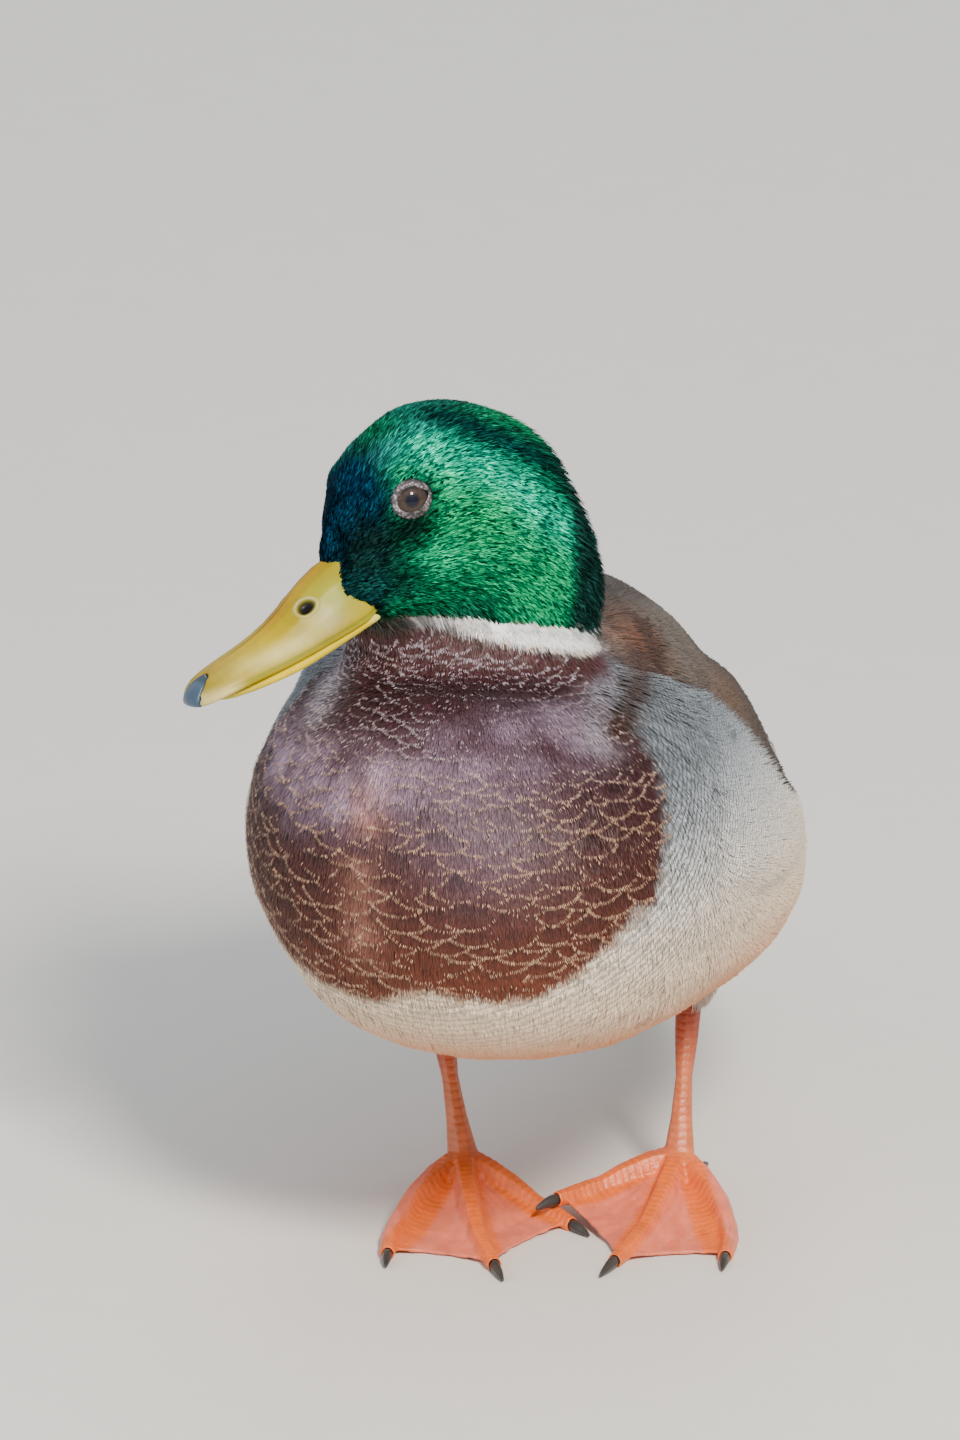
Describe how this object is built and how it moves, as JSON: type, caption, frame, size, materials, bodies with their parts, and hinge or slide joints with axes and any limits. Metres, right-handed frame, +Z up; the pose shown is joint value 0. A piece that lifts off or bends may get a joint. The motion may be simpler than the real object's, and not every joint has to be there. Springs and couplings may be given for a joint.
{
  "type": "mallard drake model",
  "caption": "Still, life-size drake mallard standing with its head turned aside: rounded body, folded wings, broad bill and webbed feet.",
  "frame": {"origin": "under the middle of the bird's outer box, on the floor it stands on", "axes": "+Z up, -Y the way the breast faces, +X towards the bird's left side"},
  "size_m": [0.154, 0.3689, 0.2572],
  "materials": {
    "green_plumage": "iridescent feathers",
    "brown_plumage": "soft feathers",
    "grey_plumage": "soft feathers",
    "white_plumage": "soft feathers",
    "black_plumage": "glossy feathers",
    "yellow_horn": "satin horn",
    "grey_horn": "satin horn",
    "orange_skin": "scaly skin",
    "dark_eye": "wet gloss"
  },
  "bodies": {
    "root": {"trunk": "grey_plumage", "neck": "white_plumage", "head": "green_plumage", "bill_upper": "yellow_horn", "bill_lower": "yellow_horn", "bill_nail": "grey_horn", "eye_left": "dark_eye", "eye_right": "dark_eye", "wing_left": "grey_plumage", "wing_right": "grey_plumage", "primaries_left": "brown_plumage", "primaries_right": "brown_plumage", "tail": "white_plumage", "tail_curl_left": "black_plumage", "tail_curl_right": "black_plumage", "thigh_left": "grey_plumage", "thigh_right": "grey_plumage", "shank_left": "orange_skin", "shank_right": "orange_skin", "foot_left": "orange_skin", "foot_right": "orange_skin", "claw_inner_left": "grey_horn", "claw_middle_left": "grey_horn", "claw_outer_left": "grey_horn", "claw_hind_left": "grey_horn", "claw_inner_right": "grey_horn", "claw_middle_right": "grey_horn", "claw_outer_right": "grey_horn", "claw_hind_right": "grey_horn"}
  },
  "joints": []
}
